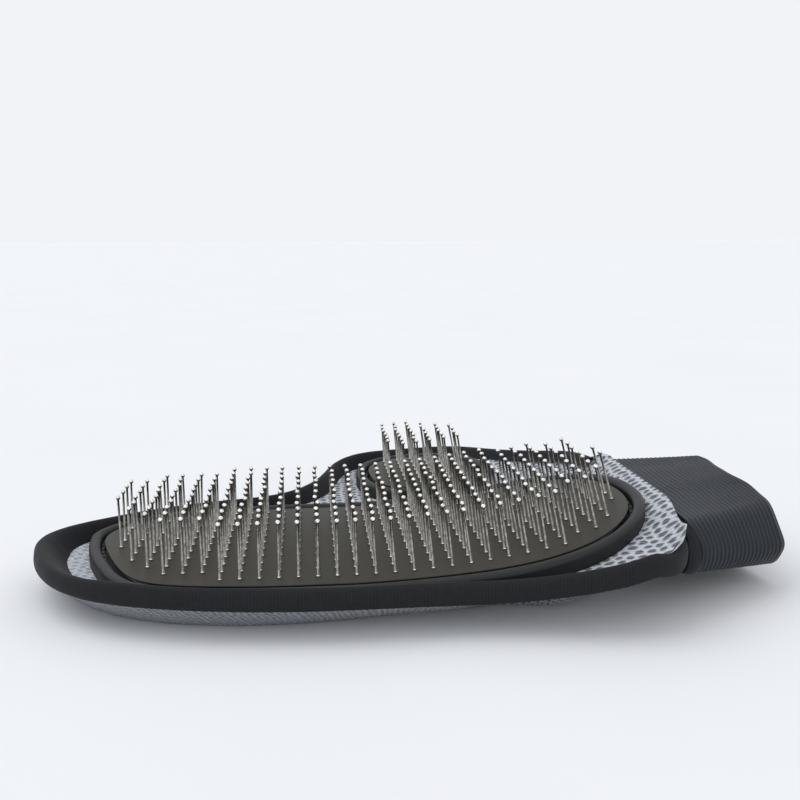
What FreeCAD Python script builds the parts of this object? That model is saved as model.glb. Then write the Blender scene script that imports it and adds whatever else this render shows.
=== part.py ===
"""Grooming glove: a mesh mitt with a thumb, an elastic cuff and two cushions of steel pins.

The glove lies on its back with the palm up. Millimetres, +Z up, +X towards the wrist.
The origin is on the surface that the glove lies on, under the middle of its outline.
Every layer of the palm follows one skin line: flat over the fingers, then an arc that
rises towards the wrist. A depth is measured square to that line, down from the top of
the cushion membranes.
"""

import FreeCAD, Part
import math
import os

V = FreeCAD.Vector

# Skin line of the palm, in the XZ plane
SKIN_HEIGHT = 12.5      # top of the membranes over the flat part
BEND_START_X = -18.5    # where the flat part ends
BEND_RADIUS = 295.0     # arc that rises towards the wrist

# Sole line of the back of the glove, which lies on the table
SOLE_BEND_X = 20.0
SOLE_BEND_RADIUS = 164.0

# Ridge line of the edge binding, which stands round the palm like a low wall
RIDGE_HEIGHT = 14.2
RIDGE_BEND_X = 2.0
RIDGE_BEND_RADIUS = 215.0

# Fabric layers
PALM_TOP_DEPTH = 4.4
MESH_THICKNESS = 1.8
PALM_BOTTOM_DEPTH = PALM_TOP_DEPTH + MESH_THICKNESS
BINDING_HEIGHT = 5.6
BINDING_WIDTH = 2.6
WALL_INSET = BINDING_WIDTH - MESH_THICKNESS

# Thumb fold: a straight axis from the crotch to the far side of the wrist, with a gap along it
FOLD_CROTCH = (-38.5, 20.2)
FOLD_WRIST = (74.0, 10.4)
FOLD_OVERRUN = 4.0
BINDING_FOLD_CLEARANCE = 5.2
FOLD_GAP = 0.7          # half-width of the slit between the two back panels
POCKET_PASSAGE = 4.5    # half-width of the way between the hand and thumb pockets

# Free edge of the hand, from the crotch round the fingertips to the wrist
HAND_EDGE = [
    (-38.4, 21.5), (-52.0, 14.8), (-68.0, 10.0), (-93.0, -3.5), (-109.5, -21.5),
    (-107.5, -37.5), (-92.0, -60.3), (-63.0, -73.8), (-21.0, -79.2), (25.0, -80.3),
    (50.0, -84.9), (64.0, -87.2), (72.5, -81.5), (76.5, -69.0),
]
WRIST_X = 76.5
WRIST_FAR_Y = 11.5
WRIST_CLEARANCE = 0.8   # hand fabric to the near side of the wrist seam tape

# Free edge of the thumb, from the crotch round its tip to the wrist
THUMB_EDGE = [
    (-38.6, 18.9), (-30.0, 29.0), (-23.5, 43.5), (-17.0, 66.5), (-4.5, 82.6), (13.0, 87.3),
    (30.5, 82.2), (46.4, 63.3), (60.0, 42.5), (70.0, 26.0), (73.9, 9.1),
]

# Cushion pads
RIM_WIDTH = 3.5
RIM_PROUD = 0.4         # rim above the membrane
RIM_ROUNDING = 1.5
GROOVE_WIDTH = 1.4
FLANGE_WIDTH = 1.0
FLANGE_DEPTH = 2.4      # floor of the groove
MEMBRANE_THICKNESS = 1.0
LOCK_SHEET_THICKNESS = 0.6
LOCK_SHEET_INSET = 1.0
FOAM_TOP_DEPTH = 3.6
MAIN_PAD_EDGE = [
    (-94.0, -19.0), (-91.8, -32.0), (-86.0, -48.0), (-75.5, -64.2), (-57.0, -71.0), (-28.0, -73.4),
    (8.0, -73.6), (41.0, -73.6), (57.0, -67.2), (69.0, -53.5), (73.4, -31.0), (68.0, -9.5),
    (52.0, 5.0), (22.0, 9.6), (-20.0, 10.3), (-55.0, 8.4), (-80.0, 1.0), (-91.0, -9.0),
]
THUMB_PAD_EDGE = [
    (-8.4, 52.0), (-4.4, 31.0), (3.0, 21.6), (16.0, 19.4), (30.0, 18.4), (39.4, 25.0),
    (40.4, 40.0), (33.5, 60.0), (20.0, 73.0), (4.0, 75.0), (-6.0, 66.0),
]

# Stitches that hold each pad down through its groove
STITCH_THICKNESS = 0.5
STITCH_GAP = 0.05
STITCH_LENGTH = 2.6
STITCH_PITCH = 3.6

# Ball-tipped steel pins
PIN_PITCH_X = 5.25
PIN_PITCH_Y = 6.3
PIN_WIRE_RADIUS = 0.33
PIN_BALL_RADIUS = 0.72
PIN_HEIGHT = 15.4       # membrane to the middle of the ball
PIN_HEAD_RADIUS = 1.0
PIN_HEAD_THICKNESS = 0.4
MAIN_EDGE_MARGIN = 3.6  # least distance from a pin to the membrane's edge
THUMB_EDGE_MARGIN = 2.6
MAIN_GRID_CORNER = (-82.5, -62.75)
MAIN_GRID_SIZE = (29, 11)
THUMB_GRID_CORNER = (-1.5, 28.5)
THUMB_GRID_SIZE = (8, 7)

# Elastic cuff: a flattened tube between two rounded oblongs, each (x, y, z, width, height, corner)
CUFF_THICKNESS = 1.6
CUFF_START = (74.2, -30.8, 18.8, 88.0, 14.6, 7.0)
CUFF_RIBS_START = (78.5, -29.7, 18.5, 86.0, 15.4, 7.4)
CUFF_END = (110.0, -19.0, 15.4, 68.0, 23.0, 10.0)

# Blanks that are cut to shape: half-size in plan, levels of the floor and the lid, angle of the arcs
REACH = 130.0
FLOOR = -10.0
LID = 85.0
ARC_ANGLE = math.radians(26.0)
SOLE_ARC_ANGLE = math.radians(32.0)
INSET_POINTS = 48       # points that carry an inset curve


def bend_centre():
    """The centre of the arc that the palm's layers share."""
    return V(BEND_START_X, 0, SKIN_HEIGHT + BEND_RADIUS)


def skin_angle(x):
    """Tilt of the skin line at x, in radians."""
    return math.asin(max(x - BEND_START_X, 0.0) / BEND_RADIUS)


def skin_point(x, y, depth=0.0):
    """The point under (x, y) on the skin line, then depth square below it."""
    angle = skin_angle(x)
    rise = BEND_RADIUS * (1.0 - math.cos(angle))
    down = V(math.sin(angle), 0, -math.cos(angle))
    return V(x, y, SKIN_HEIGHT + rise) + down * depth


def layer_height(x, depth):
    """Height of the layer at that depth, straight under x."""
    centre = bend_centre()
    run = max(x - BEND_START_X, 0.0)
    return centre.z - math.sqrt((BEND_RADIUS + depth) ** 2 - run ** 2)


def line_and_arc(start_x, height, radius, angle, middle):
    """Edges of one level in XZ: flat up to start_x, then an arc about middle."""
    def on_arc(turn):
        return V(middle.x + radius * math.sin(turn), -REACH, middle.z - radius * math.cos(turn))
    flat = Part.LineSegment(V(-REACH, -REACH, height), V(start_x, -REACH, height)).toShape()
    arc = Part.Arc(on_arc(0.0), on_arc(angle / 2.0), on_arc(angle)).toShape()
    return flat, arc, on_arc(angle)


def bent_layer(top_depth, bottom_depth):
    """A wide sheet of the palm between two depths."""
    middle = bend_centre()
    levels = []
    for depth in (top_depth, bottom_depth):
        levels.append(line_and_arc(BEND_START_X, SKIN_HEIGHT - depth, BEND_RADIUS + depth, ARC_ANGLE, middle))
    (top_flat, top_arc, top_end), (low_flat, low_arc, low_end) = levels
    left = Part.LineSegment(V(-REACH, -REACH, SKIN_HEIGHT - bottom_depth),
                            V(-REACH, -REACH, SKIN_HEIGHT - top_depth)).toShape()
    right = Part.LineSegment(top_end, low_end).toShape()
    outline = Part.Wire(Part.__sortEdges__([left, top_flat, top_arc, right, low_arc, low_flat]))
    return Part.Face(outline).extrude(V(0, 2 * REACH, 0))


def walled(edges, corners):
    """A wide block whose XZ section is bounded by edges and by straight lines through corners."""
    route = list(edges)
    for first, second in zip(corners, corners[1:]):
        route.append(Part.LineSegment(first, second).toShape())
    return Part.Face(Part.Wire(Part.__sortEdges__(route))).extrude(V(0, 2 * REACH, 0))


def sole_block(height):
    """Everything above the sole line raised by height, up to a level far over the palm."""
    middle = V(SOLE_BEND_X, 0, SOLE_BEND_RADIUS)
    radius = SOLE_BEND_RADIUS - height
    flat, arc, end = line_and_arc(SOLE_BEND_X, height, radius, SOLE_ARC_ANGLE, middle)
    lid_corners = [V(end.x, -REACH, LID), V(-REACH, -REACH, LID)]
    return walled([flat, arc], [end] + lid_corners + [V(-REACH, -REACH, height)])


def under_ridge(drop):
    """Everything below the ridge line lowered by drop, out to the blanks' reach."""
    middle = V(RIDGE_BEND_X, 0, RIDGE_HEIGHT + RIDGE_BEND_RADIUS)
    radius = RIDGE_BEND_RADIUS + drop
    level = RIDGE_HEIGHT - drop
    flat, arc, end = line_and_arc(RIDGE_BEND_X, level, radius, SOLE_ARC_ANGLE, middle)
    floor_corners = [V(end.x, -REACH, FLOOR), V(-REACH, -REACH, FLOOR)]
    return walled([flat, arc], [end] + floor_corners + [V(-REACH, -REACH, level)])


def curve(points, closed=False):
    """A smooth edge through plan points."""
    spline = Part.BSplineCurve()
    spline.interpolate(Points=[V(x, y, 0) for x, y in points], PeriodicFlag=closed)
    return spline.toShape()


def outline_face(free_edge, corners):
    """A plan face bounded by one smooth free edge, closed by straight lines through corners."""
    edges = [curve(free_edge)]
    route = [free_edge[-1]] + corners + [free_edge[0]]
    for (x0, y0), (x1, y1) in zip(route, route[1:]):
        edges.append(Part.LineSegment(V(x0, y0, 0), V(x1, y1, 0)).toShape())
    return Part.Face(Part.Wire(edges))


def redrawn(edge):
    """A plan edge drawn again: a line stays a line, and an offset curve becomes a plain spline."""
    points = edge.discretize(Number=INSET_POINTS)
    if edge.isClosed():
        return curve([(point.x, point.y) for point in points[:-1]], closed=True)
    chord = Part.LineSegment(points[0], points[-1]).toShape()
    if abs(edge.Length - chord.Length) < 1e-6:
        return chord
    return curve([(point.x, point.y) for point in points])


def inset(face, distance):
    """The same plan face, drawn in by distance."""
    edges = face.makeOffset2D(-distance, join=0).OuterWire.Edges
    return Part.Face(Part.Wire(Part.__sortEdges__([redrawn(edge) for edge in edges])))


def prism(face):
    """A tall block over a plan face."""
    block = face.copy()
    block.translate(V(0, 0, FLOOR))
    return block.extrude(V(0, 0, LID - FLOOR))


def strip(x0, y0, x1, y1, half_width):
    """A tall block along a plan line, half_width to each side."""
    length = math.hypot(x1 - x0, y1 - y0)
    block = Part.makeBox(length, 2 * half_width, LID - FLOOR, V(0, -half_width, FLOOR))
    block.rotate(V(0, 0, 0), V(0, 0, 1), math.degrees(math.atan2(y1 - y0, x1 - x0)))
    block.translate(V(x0, y0, 0))
    return block


def solids_only(shape):
    """The solids of a boolean result, as one solid or a compound."""
    solids = shape.Solids
    return solids[0] if len(solids) == 1 else Part.makeCompound(solids)


def fold_strip(half_width):
    """The strip along the thumb's fold axis, run on a little past both ends."""
    (x0, y0), (x1, y1) = FOLD_CROTCH, FOLD_WRIST
    length = math.hypot(x1 - x0, y1 - y0)
    dx = (x1 - x0) / length * FOLD_OVERRUN
    dy = (y1 - y0) / length * FOLD_OVERRUN
    return strip(x0 - dx, y0 - dy, x1 + dx, y1 + dy, half_width)


def hand_face():
    """Plan of the hand, out to the binding's outer side."""
    return outline_face(HAND_EDGE, [(WRIST_X, WRIST_FAR_Y)])


def thumb_face():
    """Plan of the thumb, out to the binding's outer side."""
    return outline_face(THUMB_EDGE, [])


def fabric_set(prefix, face, wrist_side):
    """Palm panel, bowl-shaped back panel and binding of one lobe, open at the fold and the wrist."""
    inner = prism(inset(face, BINDING_WIDTH))
    palm = inner.common(bent_layer(PALM_TOP_DEPTH, PALM_BOTTOM_DEPTH))
    wall_top = under_ridge(BINDING_HEIGHT)
    bowl = prism(inset(face, WALL_INSET)).common(sole_block(0.0)).common(wall_top)
    hollow = inner.common(sole_block(MESH_THICKNESS))
    passage = fold_strip(POCKET_PASSAGE).fuse(wrist_side).common(sole_block(MESH_THICKNESS))
    back = bowl.cut(hollow).cut(passage).cut(fold_strip(FOLD_GAP)).cut(wrist_side)
    ring = prism(face).cut(inner).common(under_ridge(0.0)).cut(wall_top)
    ring = ring.cut(fold_strip(BINDING_FOLD_CLEARANCE)).cut(wrist_side)
    return {
        prefix + "_palm_panel": solids_only(palm),
        prefix + "_back_panel": solids_only(back),
        prefix + "_binding": solids_only(ring),
    }


def pad_faces(edge_points):
    """Plan faces of one pad: whole, inside of the rim, inside of the flange, membrane, pin lock sheet."""
    whole = Part.Face(Part.Wire([curve(edge_points, closed=True)]))
    groove = RIM_WIDTH + GROOVE_WIDTH
    insets = (RIM_WIDTH, RIM_WIDTH + FLANGE_WIDTH, groove, groove + LOCK_SHEET_INSET)
    return [whole] + [inset(whole, distance) for distance in insets]


def rim(whole, inside, flange_inside):
    """Rubber rim with a rounded bead, and the thin flange that floors the groove."""
    bead = prism(whole).cut(prism(inside)).common(bent_layer(-RIM_PROUD, PALM_TOP_DEPTH))
    middle = (PALM_TOP_DEPTH - RIM_PROUD) / 2.0
    upper = []
    for edge in bead.Edges:
        centre = edge.CenterOfMass
        if centre.z > skin_point(centre.x, centre.y, middle).z and edge.Length > RIM_WIDTH * 2:
            upper.append(edge)
    bead = bead.makeFillet(RIM_ROUNDING, upper)
    flange = prism(inside).cut(prism(flange_inside)).common(bent_layer(FLANGE_DEPTH, PALM_TOP_DEPTH))
    return solids_only(bead.fuse(flange).removeSplitter())


def stitches(whole):
    """Thread dashes along the flange that floors the groove."""
    seam = inset(whole, RIM_WIDTH + FLANGE_WIDTH / 2.0).OuterWire
    depth = FLANGE_DEPTH - STITCH_THICKNESS / 2 - STITCH_GAP
    count = int(seam.Length / STITCH_PITCH)
    places = seam.discretize(Number=2 * count + 1)
    dashes = []
    for start, end in zip(places[0:-1:2], places[1::2]):
        middle = (start + end) * 0.5
        heading = math.degrees(math.atan2(end.y - start.y, end.x - start.x))
        corner = V(-STITCH_LENGTH / 2, -STITCH_THICKNESS / 2, -STITCH_THICKNESS / 2)
        dash = Part.makeBox(STITCH_LENGTH, STITCH_THICKNESS, STITCH_THICKNESS, corner)
        dash.rotate(V(0, 0, 0), V(0, 0, 1), heading)
        dash.rotate(V(0, 0, 0), V(0, 1, 0), -math.degrees(skin_angle(middle.x)))
        dash.translate(V(middle.x, middle.y, layer_height(middle.x, depth)))
        dashes.append(dash)
    return Part.makeCompound(dashes)


def pin_blank():
    """One pin about the Z axis, with z = 0 on the membrane: head, wire and ball."""
    neck = PIN_HEIGHT - math.sqrt(PIN_BALL_RADIUS ** 2 - PIN_WIRE_RADIUS ** 2)
    head_top = -MEMBRANE_THICKNESS
    head_bottom = head_top - PIN_HEAD_THICKNESS
    corners = [
        V(0, 0, head_bottom), V(PIN_HEAD_RADIUS, 0, head_bottom), V(PIN_HEAD_RADIUS, 0, head_top),
        V(PIN_WIRE_RADIUS, 0, head_top), V(PIN_WIRE_RADIUS, 0, neck),
    ]
    edges = [Part.LineSegment(a, b).toShape() for a, b in zip(corners, corners[1:])]
    side = V(PIN_BALL_RADIUS, 0, PIN_HEIGHT)
    crown = V(0, 0, PIN_HEIGHT + PIN_BALL_RADIUS)
    edges.append(Part.Arc(corners[-1], side, crown).toShape())
    edges.append(Part.LineSegment(crown, corners[0]).toShape())
    return Part.Face(Part.Wire(edges)).revolve(V(0, 0, 0), V(0, 0, 1), 360)


def pin_rows(prefix, membrane_face, corner, size, margin):
    """Rows of pins on a grid, kept clear of the membrane's edge; one node for each row."""
    blank = pin_blank()
    edge = membrane_face.OuterWire
    rows = {}
    for row in range(size[1]):
        y = corner[1] + row * PIN_PITCH_Y
        pins = []
        for column in range(size[0]):
            x = corner[0] + column * PIN_PITCH_X
            spot = Part.Vertex(x, y, 0)
            inside = membrane_face.isInside(V(x, y, 0), 1e-4, True)
            if not inside or edge.distToShape(spot)[0] < margin:
                continue
            pin = blank.copy()
            pin.rotate(V(0, 0, 0), V(0, 1, 0), -math.degrees(skin_angle(x)))
            pin.translate(skin_point(x, y))
            pins.append(pin)
        if pins:
            rows["%s_pin_row_%02d" % (prefix, len(rows) + 1)] = Part.makeCompound(pins)
    return rows


def cushion(prefix, edge_points, corner, size, margin):
    """One pad: rim, stitches, foam, membrane, pin lock sheet and pin rows."""
    whole, inside, flange_inside, membrane, lock_face = pad_faces(edge_points)
    lock_top = MEMBRANE_THICKNESS
    lock_bottom = MEMBRANE_THICKNESS + LOCK_SHEET_THICKNESS
    pieces = {
        prefix + "_rim": rim(whole, inside, flange_inside),
        prefix + "_stitching": stitches(whole),
        prefix + "_foam": solids_only(prism(membrane).common(bent_layer(FOAM_TOP_DEPTH, PALM_TOP_DEPTH))),
        prefix + "_membrane": solids_only(prism(membrane).common(bent_layer(0.0, MEMBRANE_THICKNESS))),
        prefix + "_pin_lock_sheet": solids_only(prism(lock_face).common(bent_layer(lock_top, lock_bottom))),
    }
    pieces.update(pin_rows(prefix, membrane, corner, size, margin))
    return pieces


def oblong(section, shrink=0.0):
    """A rounded oblong wire in a YZ plane."""
    x, y, z, width, height, corner = section
    half_w = width / 2.0 - shrink
    half_h = height / 2.0 - shrink
    radius = corner - shrink
    edges = []
    quarters = [(1, 1, 0), (-1, 1, 90), (-1, -1, 180), (1, -1, 270)]
    ends = []
    for side, level, start in quarters:
        hub = V(x, y + side * (half_w - radius), z + level * (half_h - radius))
        marks = []
        for turn in (start, start + 45, start + 90):
            angle = math.radians(turn)
            marks.append(hub + V(0, radius * math.cos(angle), radius * math.sin(angle)))
        edges.append(Part.Arc(*marks).toShape())
        ends.append((marks[0], marks[2]))
    for index in range(4):
        edges.append(Part.LineSegment(ends[index][1], ends[(index + 1) % 4][0]).toShape())
    return Part.Wire(Part.__sortEdges__(edges))


def tube(first, last):
    """A hollow tube of elastic between two rounded oblongs."""
    outer = Part.makeLoft([oblong(first), oblong(last)], True, True)
    bore = Part.makeLoft([oblong(first, CUFF_THICKNESS), oblong(last, CUFF_THICKNESS)], True, True)
    return outer.cut(bore)


def build():
    """Every node of the glove, by name."""
    tape_near_y = CUFF_START[1] - CUFF_START[3] / 2.0
    wrist_corner = V(WRIST_X - BINDING_WIDTH, tape_near_y - WRIST_CLEARANCE, FLOOR)
    wrist_side = Part.makeBox(REACH, REACH, LID - FLOOR, wrist_corner)
    pieces = {}
    pieces.update(fabric_set("hand", hand_face(), wrist_side))
    pieces.update(fabric_set("thumb", thumb_face(), wrist_side))
    pieces["wrist_seam_tape"] = tube(CUFF_START, CUFF_RIBS_START)
    pieces["elastic_cuff"] = tube(CUFF_RIBS_START, CUFF_END)
    pieces.update(cushion("main", MAIN_PAD_EDGE, MAIN_GRID_CORNER, MAIN_GRID_SIZE, MAIN_EDGE_MARGIN))
    pieces.update(cushion("thumb", THUMB_PAD_EDGE, THUMB_GRID_CORNER, THUMB_GRID_SIZE, THUMB_EDGE_MARGIN))
    return pieces


def main():
    os.makedirs("parts", exist_ok=True)
    for node, shape in build().items():
        shape.exportStep("parts/%s.step" % node)
        print(node, len(shape.Solids), "solids", round(shape.Volume, 1), "mm3", shape.BoundBox)


main()
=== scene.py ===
"""Grooming glove in its finished look: mesh mitt, taped edge, elastic cuff, two cushions of steel pins."""

import math

import bpy
import numpy as np
from mathutils import Matrix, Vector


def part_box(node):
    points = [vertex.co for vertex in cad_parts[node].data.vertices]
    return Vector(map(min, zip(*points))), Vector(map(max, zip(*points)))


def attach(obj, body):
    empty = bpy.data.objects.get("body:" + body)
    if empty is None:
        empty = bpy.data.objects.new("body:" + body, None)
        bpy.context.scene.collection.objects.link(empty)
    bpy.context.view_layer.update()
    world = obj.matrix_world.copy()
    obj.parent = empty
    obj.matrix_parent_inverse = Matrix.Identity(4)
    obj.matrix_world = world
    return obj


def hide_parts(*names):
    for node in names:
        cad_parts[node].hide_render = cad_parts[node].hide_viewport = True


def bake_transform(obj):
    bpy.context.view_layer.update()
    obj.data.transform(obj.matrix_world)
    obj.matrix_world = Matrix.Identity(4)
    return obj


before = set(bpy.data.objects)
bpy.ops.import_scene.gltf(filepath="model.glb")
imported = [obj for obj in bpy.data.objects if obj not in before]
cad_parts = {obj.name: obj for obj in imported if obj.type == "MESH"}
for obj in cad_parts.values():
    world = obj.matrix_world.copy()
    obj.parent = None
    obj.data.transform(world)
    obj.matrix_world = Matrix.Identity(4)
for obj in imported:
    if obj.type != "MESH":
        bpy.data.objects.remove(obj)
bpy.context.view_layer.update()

bl_info = {
    "name": "Grooming glove",
    "version": (1, 0, 0),
    "blender": (4, 5, 0),
    "location": "3D View > Sidebar > Glove",
    "description": "Builds a pet grooming glove around its packed frame",
    "category": "Add Mesh",
}

MM = 0.001

# Plan of the glove in millimetres, from the near side of the wrist round the fingers and the thumb
OUTLINE = (
    (74.6, -72.6), (72.2, -77.4), (68.0, -81.8), (61.0, -85.0), (50.0, -84.9), (25.0, -80.3),
    (-21.0, -79.2), (-63.0, -73.8), (-92.0, -60.3), (-106.4, -37.5), (-108.3, -21.5), (-93.0, -3.5),
    (-68.0, 10.0), (-52.0, 14.8), (-38.5, 20.2), (-30.0, 29.0), (-23.5, 43.5), (-17.0, 66.5),
    (-4.5, 82.6), (13.0, 87.3), (30.5, 82.2), (46.4, 63.3), (60.0, 42.5), (70.0, 26.0), (73.9, 9.1),
)

# Outlines of the two cushions in millimetres, anticlockwise
MAIN_PAD = (
    (-94.0, -19.0), (-91.8, -32.0), (-86.0, -48.0), (-75.5, -64.2), (-57.0, -71.0), (-28.0, -73.4),
    (8.0, -73.6), (41.0, -73.6), (57.0, -67.2), (69.0, -53.5), (73.4, -31.0), (68.0, -9.5),
    (52.0, 5.0), (22.0, 9.6), (-20.0, 10.3), (-55.0, 8.4), (-80.0, 1.0), (-91.0, -9.0),
)
THUMB_PAD = (
    (-8.4, 52.0), (-4.4, 31.0), (3.0, 21.6), (16.0, 19.4), (30.0, 18.4), (39.4, 25.0),
    (40.4, 40.0), (33.5, 60.0), (20.0, 73.0), (4.0, 75.0), (-6.0, 66.0),
)
OUTLINE_STEPS = 420

# Membrane's edge, in millimetres: inset from the pad's outline, thickness,
# and its rounded section as (further inset, depth)
LIP_INSET = 4.95
MEMBRANE = 1.0
LIP = ((0.12, 0.04), (0.02, 0.14), (0.0, 0.3), (0.15, 0.5), (0.95, 0.52), (1.0, MEMBRANE))

# Lines that the layers follow in the XZ plane, in millimetres:
# (start of the arc, height before it, radius)
SKIN = (-18.5, 12.5, 295.0)
RIDGE = (2.0, 14.2, 215.0)
SOLE = (20.0, 0.0, 164.0)
PALM_DEPTH = 4.4
TAPE_DROP = 5.6

# Cuff sections in millimetres: x, y, z, width, height, corner
CUFF_START = (74.2, -30.8, 18.8, 88.0, 14.6, 7.0)
CUFF_RIBS = (78.5, -29.7, 18.5, 86.0, 15.4, 7.4)
TAPE_START = (74.2, -30.8, 18.1, 87.0, 13.2, 6.4)
TAPE_END = (79.0, -29.7, 17.8, 85.0, 14.0, 6.8)
CUFF_END = (110.0, -19.0, 15.4, 68.0, 23.0, 11.4)

CUFF_ROWS = 190
CUFF_WALL = 1.5
CUFF_SAG = 3.4
CUFF_START_PULL = 2.4

# Palm mesh, in millimetres: inset from the outline, curl into the tape, lift and reach at the cuff
PALM_EDGE_INSET = 2.0
PALM_CURL = 1.6
PALM_CURL_REACH = 2.0
PALM_CUFF_LIFT = 3.1
PALM_CUFF_REACH = 4.6

# Where a shape changes, in millimetres: (start of the change, how far it runs)
PALM_REACH_X = (62.0, 10.0)
PALM_REACH_NEAR = (-73.0, 30.0)
PALM_REACH_FAR = (13.0, -8.0)
PALM_LIFT_X = (66.0, 9.0)
PALM_LIFT_Y = (-82.0, 12.0)
BACK_NEAR_Y = (-40.0, -25.0)
BACK_WIDENS_X = (-70.0, 130.0)
BACK_HEEL_X = (15.0, 30.0)
BACK_HOLLOW_X = (5.0, 40.0)
TAPE_NEAR_Y = (-60.0, -10.0)
TAPE_TIP_X = (-80.0, -22.0)
TAPE_TIP_Y = (-24.0, 20.0)
TAPE_CORNER_X = (60.0, 8.0)
TAPE_CORNER_Y = (-60.0, -8.0)
TAPE_RAISED_FROM_X = (-100.0, 20.0)
TAPE_RAISED_TO_X = (30.0, -30.0)
TAPE_DIP_X = (60.0, 12.0)

# Back mesh, in millimetres: inset under the tape, and how much further the near side's foot is in
BACK_TOP_INSET = 1.2
BACK_NEAR_INSET = 3.0
BACK_WIDENING = 9.0
BACK_HEEL_INSET = 6.0
BACK_CORNER = 34.0

# Pins, in millimetres
PIN_PITCH = 5.25
PIN_HEIGHT = 15.4
PIN_WIRE = 0.33
PIN_BALL = 0.72
PIN_SIDES = 9

# Material slot of each band up a pin: 1 for the wire, in a darker copy of the steel that is painted shade, 0
# for plated collar and ball
PIN_BANDS = (1, 1, 1, 0, 0, 0, 1, 0, 0, 0, 0, 0, 0)
BOSS_SIDES = 10
BOSS_SECTION = ((0.0, -0.2), (1.0, -0.2), (0.9, 0.06), (0.7, 0.16), (0.0, 0.17))
MAIN_GRID_X = -82.5
THUMB_GRID_X = -1.5
MAIN_ROWS = 11
THUMB_ROWS = 7

# Stage: camera in metres and degrees, suns as (name, direction they come from, strength, spread in degrees)
CAMERA_PLACE = (-0.02651, -0.31277, 0.10267)
CAMERA_HEADING = (5.5406, 9.5384, -0.2978)
CAMERA_LENS = 43.34
FLOOR_HALF = 40
SUNS = (
    ("key_light", (-0.5, 0.15, 1.0), 0.75, 50.0),
    ("front_light", (0.25, -1.0, 0.45), 0.57, 70.0),
)


# ---------------------------------------------------------------- shapes

def level(line, x):
    """Height of a line at x: flat up to its start, then a circular arc that curls upwards."""
    start, height, radius = line
    run = np.maximum(np.asarray(x, float) - start, 0.0)
    return height + radius - np.sqrt(radius ** 2 - run ** 2)


def on_skin(x, y, depth):
    """Points on the palm: the skin line above (x, y), then depth square below it."""
    x = np.asarray(x, float)
    turn = np.arcsin(np.maximum(x - SKIN[0], 0.0) / SKIN[2])
    return np.stack([x + depth * np.sin(turn), y + 0.0 * x, level(SKIN, x) - depth * np.cos(turn)], -1)


def smooth_line(points, count, closed=False):
    """A cubic spline with continuous curvature over chord length, then count points evenly along it."""
    p = np.array(points, float)
    if closed:
        p = np.vstack([p, p[:1]])
    h = np.linalg.norm(np.diff(p, axis=0), axis=1)
    t = np.concatenate([[0.0], np.cumsum(h)])
    n = len(t)
    inner = np.arange(1, n - 1)
    slope = np.diff(p, axis=0) / h[:, None]
    a = np.zeros((n, n))
    b = np.zeros_like(p)
    a[inner, inner - 1] = h[inner - 1]
    a[inner, inner] = 2 * (h[inner - 1] + h[inner])
    a[inner, inner + 1] = h[inner]
    b[inner] = 6 * (slope[inner] - slope[inner - 1])
    if closed:
        a[0, [0, -1]] = 1, -1
        a[-1, [0, 1]] = 2 * h[0], h[0]
        a[-1, [-2, -1]] += h[-1], 2 * h[-1]
        b[-1] = 6 * (slope[0] - slope[-1])
    else:
        a[0, 0] = a[-1, -1] = 1
    bend = np.linalg.solve(a, b)
    u = np.linspace(0, t[-1], 60 * n)
    k = np.clip(np.searchsorted(t, u, side="right") - 1, 0, n - 2)
    right = ((u - t[k]) / h[k])[:, None]
    left = 1 - right
    s = (h[k] ** 2 / 6)[:, None]
    pull = (left ** 3 - left) * bend[k] + (right ** 3 - right) * bend[k + 1]
    line = left * p[k] + right * p[k + 1] + s * pull
    return even(line, count, closed)


def even(line, count, closed=False):
    """The same line with count points at equal steps of length.

    A closed line doesn't repeat its first point.
    """
    length = np.concatenate([[0.0], np.cumsum(np.linalg.norm(np.diff(line, axis=0), axis=1))])
    at = np.linspace(0, length[-1], count + 1 if closed else count)
    out = np.stack([np.interp(at, length, line[:, k]) for k in range(line.shape[1])], -1)
    return out[:-1] if closed else out


def outward(line, closed=False):
    """Unit plan normals to the left of the way that the line runs."""
    if closed:
        along = np.roll(line, -1, axis=0) - np.roll(line, 1, axis=0)
    else:
        along = np.gradient(line, axis=0)
    along = along / np.linalg.norm(along, axis=1)[:, None]
    return np.stack([-along[:, 1], along[:, 0]], -1)


def ease(x):
    """Smooth step from 0 to 1."""
    x = np.clip(x, 0.0, 1.0)
    return x * x * (3 - 2 * x)


def rise(value, start, run):
    """Smooth step of a value: 0 at start, 1 a run further on; a negative run steps the other way."""
    return ease((value - start) / run)


def to_line(points, line):
    """Plan distance from each point to the nearest point of the line."""
    parts = np.array_split(points.reshape(-1, 2), 20)
    near = [np.sqrt(((part[:, None] - line[None]) ** 2).sum(-1)).min(1) for part in parts]
    return np.concatenate(near).reshape(points.shape[:-1])


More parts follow.
